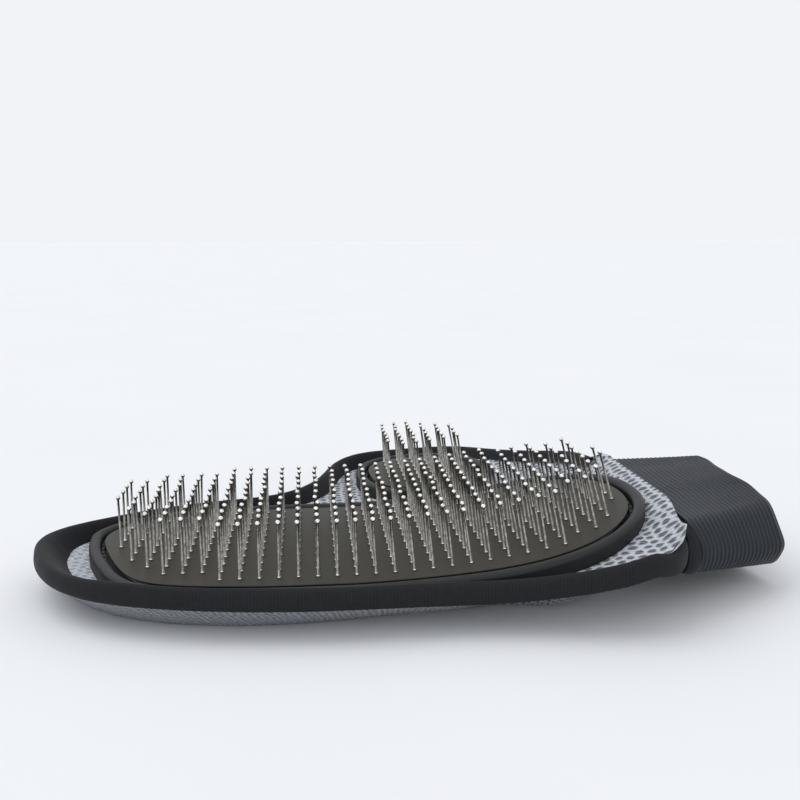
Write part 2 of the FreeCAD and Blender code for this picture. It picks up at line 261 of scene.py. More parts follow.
def grid_piece(name, grid, cloth, wrap=(False, False), flip=False, fans=()):
    """A mesh from a grid of points in millimetres, with its cloth coordinates as a UV map.

    A wrapped direction is closed on itself and its cloth grid has one more line. fans lists the
    rows (0 or -1) that are closed with triangles to their middle.
    """
    rows, cols = grid.shape[:2]
    i, j = np.meshgrid(np.arange(rows - (not wrap[0])), np.arange(cols - (not wrap[1])), indexing="ij")
    i2, j2 = (i + 1) % rows, (j + 1) % cols
    quads = np.stack([i * cols + j, i2 * cols + j, i2 * cols + j2, i * cols + j2], -1).reshape(-1, 4)
    uv = np.stack([cloth[i, j], cloth[i + 1, j], cloth[i + 1, j + 1], cloth[i, j + 1]], 2).reshape(-1, 4, 2)
    points = [grid.reshape(-1, 3)]
    faces = quads[:, ::-1].tolist() if flip else quads.tolist()
    corners = [(uv[:, ::-1] if flip else uv).reshape(-1, 2)]
    for row in fans:
        start = 0 if row == 0 else (rows - 1) * cols
        hub = sum(len(p) for p in points)
        points.append(grid[row].mean(0)[None])
        a = np.arange(cols if wrap[1] else cols - 1)
        b = (a + 1) % cols
        order = (a, b) if (row == 0) != flip else (b, a)
        tri = np.stack([start + order[0], start + order[1], np.full_like(a, hub)], -1)
        edge = cloth[row, :cols]
        middle = np.broadcast_to(edge.mean(0), (len(a), 2))
        faces += tri.tolist()
        corners.append(np.stack([edge[order[0]], edge[order[1]], middle], 1).reshape(-1, 2))
    mesh = bpy.data.meshes.new(name)
    mesh.from_pydata((np.concatenate(points) * MM).tolist(), [], faces)
    layer = mesh.uv_layers.new(name="cloth_mm")
    layer.data.foreach_set("uv", np.concatenate(corners).ravel())
    mesh.shade_smooth()
    mesh.update()
    piece = bpy.data.objects.new(name, mesh)
    bpy.context.scene.collection.objects.link(piece)
    return piece


def plan_cloth(grid, wrapped):
    """Cloth coordinates that are the plan ones, closed along the columns when wrapped."""
    flat = grid[..., :2]
    return np.concatenate([flat, flat[:, :1]], 1) if wrapped else flat


def polar(edge, fractions, centre):
    """Rings from near the centre to the edge: centre + fraction x (edge - centre)."""
    return centre + np.asarray(fractions)[:, None, None] * (edge[None] - centre)


def finish_piece(piece, body, material, slot, *nodes):
    """Gives a piece its body and material, and hides the CAD nodes that it stands for; slot is not used."""
    piece.data.materials.clear()
    piece.data.materials.append(material)
    if body:
        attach(piece, body)
    if nodes:
        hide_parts(*nodes)
    return piece


def across_fold(piece):
    """Bakes a piece's placing into its mesh."""
    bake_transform(piece)


def closed_outline(count):
    """The free edge, then the straight line across the wrist; also how far each point is into that line."""
    free = smooth_line(OUTLINE, count)
    step = np.linalg.norm(free[1] - free[0])
    gap = np.linalg.norm(free[0] - free[-1])
    n = max(int(gap / step), 8)
    share = np.linspace(0, 1, n + 1)[1:-1]
    across = free[-1] + share[:, None] * (free[0] - free[-1])
    into = np.concatenate([np.zeros(len(free)), np.minimum(share, 1 - share) * gap])
    return np.vstack([free, across]), into


def drawn_in(line, distance):
    """A closed line moved inwards by distance, which may differ along it."""
    return line - outward(line, closed=True) * np.broadcast_to(distance, len(line))[:, None]


def waves(grid, size, height):
    """Gentle unevenness of cloth: three crossed sine waves of about that size and height."""
    x, y = grid[..., 0] / size, grid[..., 1] / size
    crossed = np.sin(5.1 * x + 1.3 * y) + np.sin(2.2 * x - 4.7 * y + 1.0) + np.sin(3.4 * x + 3.9 * y + 2.0)
    return height * crossed / 3


# ---------------------------------------------------------------- materials

def linear(hex_colour):
    """An sRGB hex colour as linear RGBA."""
    values = [int(hex_colour[k:k + 2], 16) / 255 for k in (1, 3, 5)]
    return [v / 12.92 if v <= 0.04045 else ((v + 0.055) / 1.055) ** 2.4 for v in values] + [1.0]


def add(tree, kind, inputs=None, **settings):
    """Adds one node with its settings; inputs are values, or sockets to link from."""
    made = tree.nodes.new(kind)
    for key, value in settings.items():
        setattr(made, key, value)
    for key, value in (inputs or {}).items():
        if isinstance(value, bpy.types.NodeSocket):
            tree.links.new(value, made.inputs[key])
        else:
            made.inputs[key].default_value = value
    return made


def blank_material(name):
    """A new material with an empty node tree; returns both."""
    material = bpy.data.materials.new(name)
    material.use_nodes = True
    tree = material.node_tree
    tree.nodes.clear()
    return material, tree


def surface(tree, inputs, height=None, strength=0.5, distance=0.0003):
    """The shader and output, with a bump from height when there is one."""
    if height is not None:
        bump = add(tree, "ShaderNodeBump", {"Height": height, "Strength": strength, "Distance": distance})
        inputs["Normal"] = bump.outputs[0]
    shader = add(tree, "ShaderNodeBsdfPrincipled", inputs)
    add(tree, "ShaderNodeOutputMaterial", {"Surface": shader.outputs[0]})


def ramp(tree, source, stops):
    """A colour ramp over a value: stops are (position, hex colour)."""
    made = add(tree, "ShaderNodeValToRGB", {"Fac": source})
    elements = made.color_ramp.elements
    while len(elements) < len(stops):
        elements.new(0.5)
    for element, (position, colour) in zip(elements, stops):
        element.position = position
        element.color = linear(colour)
    return made.outputs[0]


def maths(tree, operation, *values):
    """One step of arithmetic on values or sockets."""
    return add(tree, "ShaderNodeMath", dict(enumerate(values)), operation=operation).outputs[0]


def hex_cells(tree, place, pitch):
    """Peaks on a hexagonal lattice of that pitch in millimetres: three cosines 120 degrees apart, summed."""
    total = None
    for turn in (0, 120, 240):
        way = (math.cos(math.radians(turn)), math.sin(math.radians(turn)), 0.0)
        scale = 2 * math.pi / (pitch * math.cos(math.radians(30)))
        along = [scale * v for v in way]
        dot = add(tree, "ShaderNodeVectorMath", {0: place, 1: along}, operation="DOT_PRODUCT")
        wave = maths(tree, "COSINE", dot.outputs["Value"])
        total = wave if total is None else maths(tree, "ADD", total, wave)
    return total


def polyester_air_mesh(name, yarn, hole_shade, pitch, tight):
    """Warp-knit polyester spacer mesh: matt yarn round hexagonal holes, with a fine diagonal knit. The holes
    are coloured with painted shade, darkest in their middles.

    The holes are faint at x = tight millimetres and fully open 110 mm further towards the wrist. The
    knit is drawn coarser than real yarn so that it shows.
    """
    material, tree = blank_material(name)
    place = add(tree, "ShaderNodeUVMap", uv_map="cloth_mm").outputs[0]
    warp = add(tree, "ShaderNodeTexNoise", {"Vector": place, "Scale": 0.16, "Detail": 3.0})
    shift = add(tree, "ShaderNodeVectorMath", {0: warp.outputs["Color"], 1: (3.4, 3.4, 0.0)},
                operation="MULTIPLY")
    bent = add(tree, "ShaderNodeVectorMath", {0: place, 1: shift.outputs[0]}).outputs[0]
    cells = hex_cells(tree, bent, pitch)
    along = add(tree, "ShaderNodeSeparateXYZ", {0: place}).outputs[0]
    opened = add(tree, "ShaderNodeMapRange", {"Value": along, "From Min": tight, "From Max": tight + 110.0,
                                              "To Min": 0.25, "To Max": 1.0}).outputs[0]
    hollow = add(tree, "ShaderNodeMapRange", {"Value": cells, "From Min": -0.7, "From Max": 1.4}).outputs[0]
    depth = maths(tree, "MULTIPLY", hollow, opened)
    knit = add(tree, "ShaderNodeTexWave", {"Vector": bent, "Scale": 0.32, "Distortion": 0.6},
               bands_direction="DIAGONAL").outputs["Fac"]
    fibres = add(tree, "ShaderNodeTexNoise", {"Vector": place, "Scale": 1.1, "Detail": 5.0,
                                              "Roughness": 0.75}).outputs["Fac"]
    shade = maths(tree, "MULTIPLY_ADD", knit, -0.22, depth)
    mottled = maths(tree, "MULTIPLY_ADD", fibres, 0.7, shade)
    # painted shade: the colour darkens from the yarn to the darkest grey towards the middle of each hole
    stops = ((0.05, yarn), (0.38, "#9CA1AA"), (0.6, hole_shade), (0.95, "#464A52"))
    colour = ramp(tree, maths(tree, "MULTIPLY", mottled, 0.8), stops)
    threads = maths(tree, "MULTIPLY_ADD", knit, 0.35, maths(tree, "SUBTRACT", 1.0, depth))
    surface(tree, {"Base Color": colour, "Roughness": 0.85, "Sheen Weight": 0.25, "Sheen Roughness": 0.5},
            threads, 0.9, 0.0007)
    return material


def woven_nylon_tape(name, colour, lit):
    """Plain-woven nylon binding tape: dull black, with fine ribs both ways and a little fluff."""
    material, tree = blank_material(name)
    place = add(tree, "ShaderNodeUVMap", uv_map="cloth_mm").outputs[0]
    ribs = add(tree, "ShaderNodeTexWave", {"Vector": place, "Scale": 0.36, "Distortion": 0.3},
               bands_direction="X").outputs["Fac"]
    weft = add(tree, "ShaderNodeTexWave", {"Vector": place, "Scale": 0.5, "Distortion": 0.3},
               bands_direction="Y").outputs["Fac"]
    fluff = add(tree, "ShaderNodeTexNoise", {"Vector": place, "Scale": 0.6, "Detail": 4.0}).outputs["Fac"]
    both = maths(tree, "MULTIPLY", ribs, weft)
    mixed = maths(tree, "ADD", maths(tree, "MULTIPLY", both, 0.5), maths(tree, "MULTIPLY", fluff, 0.6))
    shades = ramp(tree, mixed, ((0.2, colour), (0.8, lit)))
    surface(tree, {"Base Color": shades, "Roughness": 0.75, "Specular IOR Level": 0.25,
                   "Sheen Weight": 0.04, "Sheen Roughness": 0.4}, mixed, 0.3, 0.0002)
    return material


def knitted_elastic(name, colour, lit):
    """Ribbed knitted elastic: black polyester yarn with a cool satin sheen and fine loops along each rib.
    Broad patches mix in the lit colour as a painted bluish sheen.
    """
    material, tree = blank_material(name)
    place = add(tree, "ShaderNodeUVMap", uv_map="cloth_mm").outputs[0]
    loops = add(tree, "ShaderNodeTexWave", {"Vector": place, "Scale": 0.4, "Distortion": 0.8},
                bands_direction="Y").outputs["Fac"]
    # broad patches of painted bluish sheen
    sheen_patches = add(tree, "ShaderNodeTexNoise", {"Vector": place, "Scale": 0.05, "Detail": 5.0,
                                             "Roughness": 0.65}).outputs["Fac"]
    mixed = maths(tree, "ADD", maths(tree, "MULTIPLY", loops, 0.4), maths(tree, "MULTIPLY", sheen_patches, 0.6))
    shades = ramp(tree, mixed, ((0.2, colour), (0.85, lit)))
    surface(tree, {"Base Color": shades, "Roughness": 0.5, "Specular IOR Level": 0.3, "Sheen Weight": 0.06,
                   "Sheen Roughness": 0.35, "Sheen Tint": linear("#9FB2CC")}, mixed, 0.35, 0.0003)
    return material


def moulded_rubber(name, colour, worn):
    """Compression-moulded EPDM rubber: dark, satin, with a faint bloom and a fine pitted skin."""
    material, tree = blank_material(name)
    place = add(tree, "ShaderNodeTexCoord").outputs["Object"]
    bloom = add(tree, "ShaderNodeTexNoise", {"Vector": place, "Scale": 60.0, "Detail": 4.0}).outputs["Fac"]
    pits = add(tree, "ShaderNodeTexNoise", {"Vector": place, "Scale": 1800.0, "Detail": 2.0}).outputs["Fac"]
    rough = add(tree, "ShaderNodeMapRange", {"Value": bloom, "To Min": 0.42, "To Max": 0.6}).outputs[0]
    shades = ramp(tree, bloom, ((0.3, colour), (0.75, worn)))
    surface(tree, {"Base Color": shades, "Roughness": rough, "Specular IOR Level": 0.3}, pits, 0.25, 0.0001)
    return material


def polished_steel(name, colour, lit, least, most):
    """Nickel-plated spring steel: bright, with a fine unevenness that blurs the gloss a little."""
    material, tree = blank_material(name)
    place = add(tree, "ShaderNodeTexCoord").outputs["Object"]
    drawn = add(tree, "ShaderNodeTexNoise", {"Vector": place, "Scale": 900.0, "Detail": 2.0}).outputs["Fac"]
    rough = add(tree, "ShaderNodeMapRange", {"Value": drawn, "To Min": least, "To Max": most}).outputs[0]
    shades = ramp(tree, drawn, ((0.3, colour), (0.7, lit)))
    surface(tree, {"Base Color": shades, "Metallic": 1.0, "Roughness": rough})
    return material


def open_cell_foam(name, colour, cell):
    """Open-cell polyurethane foam, or a felted sheet: matt, speckled with cells well under a millimetre."""
    material, tree = blank_material(name)
    place = add(tree, "ShaderNodeTexCoord").outputs["Object"]
    cells = add(tree, "ShaderNodeTexVoronoi", {"Vector": place, "Scale": 1500.0}).outputs["Distance"]
    shades = ramp(tree, cells, ((0.0, cell), (0.6, colour)))
    surface(tree, {"Base Color": shades, "Roughness": 0.95}, cells, 0.4, 0.0002)
    return material


def spun_thread(name, colour, lit):
    """Twisted polyester sewing thread: black, with the two plies showing as slanted bands."""
    material, tree = blank_material(name)
    place = add(tree, "ShaderNodeTexCoord").outputs["Object"]
    plies = add(tree, "ShaderNodeTexWave", {"Vector": place, "Scale": 600.0},
                bands_direction="DIAGONAL").outputs["Fac"]
    shades = ramp(tree, plies, ((0.2, colour), (0.8, lit)))
    surface(tree, {"Base Color": shades, "Roughness": 0.6}, plies, 0.4, 0.0001)
    return material


def painted_table(name, colour, lit):
    """Matt painted board: nearly white, with a very faint roller mottle."""
    material, tree = blank_material(name)
    place = add(tree, "ShaderNodeTexCoord").outputs["Object"]
    mottle = add(tree, "ShaderNodeTexNoise", {"Vector": place, "Scale": 8.0, "Detail": 3.0}).outputs["Fac"]
    shades = ramp(tree, mottle, ((0.3, colour), (0.7, lit)))
    surface(tree, {"Base Color": shades, "Roughness": 0.8}, mottle, 0.02, 0.0002)
    return material


# ---------------------------------------------------------------- settings

class GloveColours(bpy.types.PropertyGroup):
    """Colours of the fabrics and the rubber, as sRGB hex."""
    mesh: bpy.props.StringProperty(
        name="Palm mesh", description="Yarn of the palm's air mesh", default="#C6CAD1")
    # painted shade inside the palm mesh's holes
    mesh_hole_shade: bpy.props.StringProperty(
        name="Mesh holes", description="Shade inside the mesh", default="#7F848E")
    back: bpy.props.StringProperty(
        name="Back mesh", description="Yarn of the back's air mesh", default="#8C9195")
    tape: bpy.props.StringProperty(
        name="Tape", description="Edge binding", default="#101013")
    elastic: bpy.props.StringProperty(
        name="Elastic", description="Cuff yarn", default="#0B0D10")
    rubber: bpy.props.StringProperty(
        name="Rubber", description="Cushion skins", default="#2A2820")
    # The rim rubber is darker than the skins': partly the rim's own tone, partly painted shade for its
    # undercut outer wall.
    rim: bpy.props.StringProperty(
        name="Rim rubber", description="Rims of the cushions", default="#191B1C")


class GloveSizes(bpy.types.PropertyGroup):
    """Sizes that a maker may change."""
    foot_inset: bpy.props.FloatProperty(
        name="Foot inset", description="How far the back rounds in under its edge", default=0.0110,
        unit="LENGTH")
    mesh_pitch: bpy.props.FloatProperty(
        name="Mesh pitch", description="Distance between holes of the palm mesh", default=0.0033,
        unit="LENGTH")
    rib_pitch: bpy.props.FloatProperty(
        name="Rib pitch", description="Distance between ribs of the cuff", default=0.00150, unit="LENGTH")
    rib_height: bpy.props.FloatProperty(
        name="Rib height", description="Height of the cuff's ribs", default=0.00022, unit="LENGTH")
    pin_tilt: bpy.props.FloatProperty(
        name="Pin tilt", description="Most that a pin leans from square", default=math.radians(1.6),
        subtype="ANGLE")


def sizes():
    """The sizes set in this scene."""
    return bpy.context.scene.glove_sizes


def colours():
    """The colours set in this scene."""
    return bpy.context.scene.glove_colours


# ---------------------------------------------------------------- pieces

class GLOVE_OT_palm(bpy.types.Operator):
    """Palm mesh of the hand and the thumb, one cloth across the fold, curling up into the tape"""
    bl_idname = "glove.palm"
    bl_label = "Palm mesh"

    def execute(self, context):
        line, into = closed_outline(OUTLINE_STEPS)
        edge = drawn_in(line, PALM_EDGE_INSET)
        fractions = np.concatenate([np.linspace(0.02, 0.86, 56), np.linspace(0.87, 1.0, 16)])
        plan = polar(edge, fractions, np.zeros(2))
        away = to_line(plan, line[into == 0])
        over = rise(plan[..., 0], *PALM_REACH_X) * rise(plan[..., 1], *PALM_REACH_NEAR)
        over = over * rise(plan[..., 1], *PALM_REACH_FAR)
        plan[..., 0] += PALM_CUFF_REACH * over
        grid = on_skin(plan[..., 0], plan[..., 1], PALM_DEPTH)
        grid[..., 2] += PALM_CURL * np.exp(-np.maximum(away - PALM_EDGE_INSET, 0) / PALM_CURL_REACH)
        at_cuff = rise(plan[..., 0], *PALM_LIFT_X) * rise(plan[..., 1], *PALM_LIFT_Y)
        grid[..., 2] += PALM_CUFF_LIFT * at_cuff + waves(plan, 30.0, 0.25)
        piece = grid_piece("palm_mesh", grid, plan_cloth(grid, True), (False, True), True, (0,))
        c = colours()
        material = polyester_air_mesh("air_mesh_palm", c.mesh, c.mesh_hole_shade, sizes().mesh_pitch / MM, -110.0)
        finish_piece(piece, None, material, "air_mesh", "hand_palm_panel", "thumb_palm_panel")
        across_fold(piece)
        return {"FINISHED"}


class GLOVE_OT_back(bpy.types.Operator):
    """Back mesh: a soft bowl whose sides round in to a flat foot"""
    bl_idname = "glove.back"
    bl_label = "Back mesh"

    def execute(self, context):
        line, into = closed_outline(OUTLINE_STEPS)
        free = 1 - ease(into / 7.0)
        tucked = 1 - ease(into / BACK_CORNER)
        down = np.linspace(0, 1, 15)[:, None]
        x = line[:, 0]
        near = rise(line[:, 1], *BACK_NEAR_Y)
        wider = BACK_NEAR_INSET + BACK_WIDENING * rise(x, *BACK_WIDENS_X)
        wider += BACK_HEEL_INSET * rise(x, *BACK_HEEL_X)
        foot = sizes().foot_inset / MM + near * wider
        hollow = 1.25 - 0.55 * near * rise(x, *BACK_HOLLOW_X)
        inset = BACK_TOP_INSET + (foot - BACK_TOP_INSET) * down ** 0.95 * tucked[None]
        inward = line / np.linalg.norm(line, axis=1)[:, None]
        plan = line[None] - inward[None] * inset[..., None]
        top = level(RIDGE, x) - TAPE_DROP + 1.2
        top = free * top + (1 - free) * (CUFF_START[2] - CUFF_START[4] / 2 + 0.6)
        low = level(SOLE, plan[..., 0])
        side = np.concatenate([plan, (low + (top[None] - low) * (1 - down) ** hollow[None])[..., None]], -1)
        under = polar(plan[-1], np.linspace(0.985, 0.02, 42), np.zeros(2))
        under = np.concatenate([under, (level(SOLE, under[..., 0]))[..., None]], -1)
        grid = np.concatenate([side, under])
        run = np.concatenate([[0.0], np.cumsum(np.linalg.norm(np.diff(grid[:, 0], axis=0), axis=1))])
        around = np.linspace(0, np.linalg.norm(np.diff(line, axis=0), axis=1).sum(), len(line) + 1)
        wall = np.stack(np.broadcast_arrays(around[None, :], run[:15, None]), -1)
        cloth = np.concatenate([wall, plan_cloth(under, True)])
        piece = grid_piece("back_mesh", grid, cloth, (False, True), True, (-1,))
        c = colours()
        # 6E7478 is painted shade inside the back mesh's holes
        material = polyester_air_mesh("air_mesh_back", c.back, "#6E7478", 2.0, -400.0)
        finish_piece(piece, None, material, "air_mesh", "hand_back_panel", "thumb_back_panel")
        across_fold(piece)
        return {"FINISHED"}


class GLOVE_OT_tape(bpy.types.Operator):
    """Edge binding: a folded tape round the whole free edge, standing like a low wall"""
    bl_idname = "glove.tape"
    bl_label = "Edge binding"

    def execute(self, context):
        line = smooth_line(OUTLINE, 520)
        section = np.array((
            (-1.2, -5.4), (-0.6, -5.2), (-0.2, -4.4), (-0.1, -3.0), (-0.3, -1.5), (-0.8, -0.5), (-1.6, -0.05),
            (-2.3, -0.25), (-2.9, -1.0), (-3.5, -2.3), (-4.1, -3.8), (-4.7, -5.2), (-5.1, -5.7),
        ))
        section = even(section, 26)
        out = outward(line)
        x, y = line[:, 0], line[:, 1]
        inner = ease((-1.6 - section[:, 0]) / 0.6)
        near = rise(y, *TAPE_NEAR_Y)
        reach = 1.0 + 1.25 * rise(x, *TAPE_TIP_X) * (1 - rise(y, *TAPE_TIP_Y))
        reach *= 1.0 - 0.7 * rise(x, *TAPE_CORNER_X) * rise(y, *TAPE_CORNER_Y)
        across = section[None, :, 0] + inner[None] * (section[None, :, 0] + 1.6) * (reach[:, None] - 1.0)
        plan = line[:, None] + out[:, None] * across[..., None]
        crest = level(RIDGE, x) + 0.7 * near * rise(x, *TAPE_RAISED_TO_X) * rise(x, *TAPE_RAISED_FROM_X)
        crest -= 4.0 * near * rise(x, *TAPE_DIP_X)
        palm = on_skin(x, y, PALM_DEPTH)[:, 2]
        drop = 1.0 + inner[None] * ((crest - palm) / 5.7 - 1.0)[:, None]
        drop += 0.17 * (1 - inner[None]) * near[:, None]
        height = crest[:, None] + section[None, :, 1] * drop
        grid = np.concatenate([plan, height[..., None]], -1)
        along = np.arange(len(line)) * np.linalg.norm(line[1] - line[0])
        round_it = np.linspace(0, 15.0, len(section))
        pucker = 0.04 * np.sin(along / 1.4) + 0.15 * np.sin(along / 7.3 + 1.0)
        grid[:, :, :2] += out[:, None] * (pucker[:, None] * ease((section[:, 1] + 5.5) / 3))[..., None]
        cloth = np.stack(np.broadcast_arrays(along[:, None], round_it[None]), -1)
        piece = grid_piece("edge_tape", grid, cloth, flip=True)
        material = woven_nylon_tape("nylon_tape", colours().tape, "#1E1F22")
        finish_piece(piece, None, material, "edge_tape", "hand_binding", "thumb_binding")
        across_fold(piece)
        return {"FINISHED"}


def oblong_ring(section, count):
    """count points round a rounded oblong in the YZ plane, from the middle of its underside."""
    x, y, z, width, height, corner = section
    hubs = ((1, -1, -90), (1, 1, 0), (-1, 1, 90), (-1, -1, 180))
    run = [np.array([[y, z - height / 2]])]
    for side, up, start in hubs:
        turn = np.radians(start + np.linspace(0, 90, 12))
        hub = np.array((y + side * (width / 2 - corner), z + up * (height / 2 - corner)))
        run.append(hub + corner * np.stack([np.cos(turn), np.sin(turn)], -1))
    run.append(run[0])
    return even(np.concatenate(run), count, closed=True)


def cuff_shell(name, first, last, rows, thickness, sag, relief):
    """A flattened tube between two oblongs, turned in at both ends.

    The outer wall is the oblong's ring moved outwards by relief(along, around); the inner wall is the
    same ring moved inwards by the thickness.
    """
    around = 300
    share = np.linspace(0, 1, rows)
    first, last = np.array(first), np.array(last)
    rings = np.stack([oblong_ring(first + s * (last - first), around) for s in share])
    near = ease((first[1] + share[:, None] * (last[1] - first[1]) - rings[..., 0]) / 36.0)
    upper = ease((rings[..., 1] - 8.0) / 14.0)
    rings[..., 1] -= sag * share[:, None] * near * upper
    x = first[0] + share * (last[0] - first[0])
    middle = np.stack([first[1:3] + s * (last[1:3] - first[1:3]) for s in share])
    away = np.stack([-outward(ring, closed=True) for ring in rings])
    angle = np.linspace(0, 2 * math.pi, around, endpoint=False)
    lift, slip = relief(share[:, None], angle[None], x[:, None])
    outer = rings + away * (lift[..., None] - 0.35)
    inner = rings - away * (thickness - 0.3 * lift[..., None])
    xs = x[:, None] + slip + 0.5 * sag * share[:, None] ** 2 * near
    grid = np.concatenate([
        np.concatenate([xs[..., None], outer], -1),
        np.concatenate([xs[..., None], inner], -1)[::-1],
    ])
    length = np.linspace(0, 2 * (last[0] - first[0]), 2 * rows + 1)
    girth = np.linspace(0, 2 * (first[3] + first[4]), around + 1)
    cloth = np.stack(np.broadcast_arrays(length[:, None], girth[None]), -1)
    return grid_piece(name, grid, cloth, (True, True), flip=True)


class GLOVE_OT_cuff(bpy.types.Operator):
    """Elastic cuff with knitted ribs that run round it and pucker between the stitches"""
    bl_idname = "glove.cuff"
    bl_label = "Elastic cuff"

    def execute(self, context):
        pitch = sizes().rib_pitch / MM
        rib = sizes().rib_height / MM

        def ribs(share, angle, x):
            ends = ease(share / 0.04) * ease((1 - share) / 0.03)
            pull = 0.35 + 0.65 * share
            ruck = pull * (np.sin(3 * angle + 0.6) * 0.6 + np.sin(7 * angle + 2.0 + 2 * share) * 0.25)
            slip = pull * (0.7 * np.sin(5 * angle + 2.2) + 0.2 * np.sin(11 * angle + 0.4))
            over = 1.0 - ease((np.abs(angle / (2 * math.pi) - 0.5) - 0.20) / 0.05)
            slip = slip - CUFF_START_PULL * (1 - share) ** 2 * over
            wave = 0.5 + 0.5 * np.cos(2 * math.pi * (share * (CUFF_END[0] - CUFF_RIBS[0])) / pitch)
            fade = 1.0 - 0.8 * ease((angle / (2 * math.pi) - 0.76) / 0.08)
            return ends * (rib * wave * 1.6 * fade + 0.35 * ruck) + 0.1, slip * 0.8

        piece = cuff_shell("elastic_cuff_cloth", CUFF_RIBS, CUFF_END, CUFF_ROWS, CUFF_WALL, CUFF_SAG, ribs)
        # 18202A is painted bluish sheen, mixed in by broad patches
        material = knitted_elastic("knitted_elastic", colours().elastic, "#18202A")
        finish_piece(piece, "mitt", material, "ribbed_elastic", "elastic_cuff")

        def plain(share, angle, x):
            bulge = np.sin(math.pi * share) * 0.45 + 0 * angle
            return bulge + 0.15, 0 * angle + 0 * share

        tape = cuff_shell("wrist_tape", TAPE_START, TAPE_END, 14, CUFF_WALL, 0.0, plain)
        nylon = woven_nylon_tape("wrist_nylon", colours().tape, "#1C1E22")
        finish_piece(tape, "mitt", nylon, "edge_tape", "wrist_seam_tape")
        return {"FINISHED"}


class GLOVE_OT_cushions(bpy.types.Operator):
    """Rubber cushions: the membrane that carries the pins, with a small boss round each pin"""
    bl_idname = "glove.cushions"
    bl_label = "Cushions"

    def execute(self, context):
        rubber = moulded_rubber("moulded_rubber", colours().rubber, "#36332A")
        # the rims take a darker copy of the rubber: partly their own tone, partly painted shade on their
        # undercut outer walls
        shaded_rim_rubber = moulded_rubber("shaded_rim_rubber", colours().rim, "#212324")
        for prefix, outline, centre, rows, grid_x in (
                ("main", MAIN_PAD, (-10.0, -32.0), MAIN_ROWS, MAIN_GRID_X),
                ("thumb", THUMB_PAD, (15.0, 45.0), THUMB_ROWS, THUMB_GRID_X)):
            line = smooth_line(outline, 300, closed=True)[::-1]
            centre = np.array(centre)
            edge = drawn_in(line, LIP_INSET + 0.3)
            plan = polar(edge, np.linspace(0.02, 1.0, 44), centre)
            top = on_skin(plan[..., 0], plan[..., 1], 0.0)
            lip = [on_skin(*drawn_in(line, LIP_INSET + inset).T, depth) for inset, depth in LIP]
            floor = polar(drawn_in(line, LIP_INSET + 1.2), (0.9, 0.5, 0.05), centre)
            below = on_skin(floor[..., 0], floor[..., 1], MEMBRANE)
            grid = np.concatenate([top, np.stack(lip), below])
            cloth = plan_cloth(grid, True)
            piece = grid_piece(prefix + "_cushion_skin", grid, cloth, (False, True), True, (0, -1))
            finish_piece(piece, prefix + "_cushion", rubber, "cushion_rubber", prefix + "_membrane")
            nodes = ["%s_pin_row_%02d" % (prefix, row) for row in range(1, rows + 1)]
            bases = np.concatenate([pin_bases(node, grid_x) for node in nodes])
            bosses = turned(prefix + "_pin_bosses", bases, BOSS_SIDES, BOSS_SECTION, None)
            finish_piece(bosses, prefix + "_cushion", rubber, "cushion_rubber")
            dress(prefix + "_rim", shaded_rim_rubber)
        return {"FINISHED"}


def pin_bases(node, grid_x):
    """Plan positions of the pins in one row: the grid columns that lie inside the node's box."""
    low, high = np.array(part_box(node)) / MM
    columns = grid_x + PIN_PITCH * np.arange(-1, 40)
    inside = columns[(columns > low[0]) & (columns < high[0])]
    return np.stack([inside, np.full(len(inside), (low[1] + high[1]) / 2)], -1)


def turned(name, bases, sides, section, tilts):
    """Many copies of one turned shape, each square to the skin at its base and leaning by its own tilt."""
    section = np.array(section, float)
    turn = np.linspace(0, 2 * math.pi, sides, endpoint=False)
    body = section[1:-1]
    radius, rise_to = body[:, :1], body[:, 1:]
    ring = np.stack([radius * np.cos(turn), radius * np.sin(turn), rise_to + 0 * turn[None]], -1)
    local = np.concatenate([ring.reshape(-1, 3), [[0, 0, section[0, 1]], [0, 0, section[-1, 1]]]])
    angle = np.arcsin(np.maximum(bases[:, 0] - SKIN[0], 0.0) / SKIN[2])
    lean = np.zeros((len(bases), 2)) if tilts is None else tilts
    around_y = angle[:, None] - lean[:, :1]
    x = local[None, :, 0] * np.cos(around_y) - local[None, :, 2] * np.sin(around_y)
    z = local[None, :, 0] * np.sin(around_y) + local[None, :, 2] * np.cos(around_y)
    y = local[None, :, 1] + z * np.sin(lean[:, 1:])
    places = on_skin(bases[:, 0], bases[:, 1], 0.0)
    points = np.stack([x, y, z], -1) + places[:, None]
    rings, count = len(body), len(local)
    i, j = np.meshgrid(np.arange(rings - 1), np.arange(sides), indexing="ij")
    j2 = (j + 1) % sides
    lower, upper = i * sides, (i + 1) * sides
    quads = np.stack([lower + j, lower + j2, upper + j2, upper + j], -1).reshape(-1, 4)
    j = np.arange(sides)
    j2 = (j + 1) % sides
    low = np.stack([j2, j, np.full(sides, count - 2)], -1)
    last = (rings - 1) * sides
    high = np.stack([last + j, last + j2, np.full(sides, count - 1)], -1)
    starts = np.arange(len(bases)) * count
    faces = []
    for part in (quads, low, high):
        faces += (starts[:, None, None] + part[None]).reshape(-1, part.shape[1]).tolist()
    mesh = bpy.data.meshes.new(name)
    mesh.from_pydata((points.reshape(-1, 3) * MM).tolist(), [], faces)
    mesh.shade_smooth()
    mesh.update()
    piece = bpy.data.objects.new(name, mesh)
    bpy.context.scene.collection.objects.link(piece)
    return piece


def by_ring(piece, copies, sides, slots):
    """Gives each band of a turned shape its material slot; the two ends are slot 0."""
    bands = np.repeat(np.array(slots[:(len(piece.data.polygons) // copies - 2 * sides) // sides]), sides)
    index = np.concatenate([np.tile(bands, copies), np.zeros(2 * sides * copies, int)])
    piece.data.polygons.foreach_set("material_index", index.astype(np.int32))


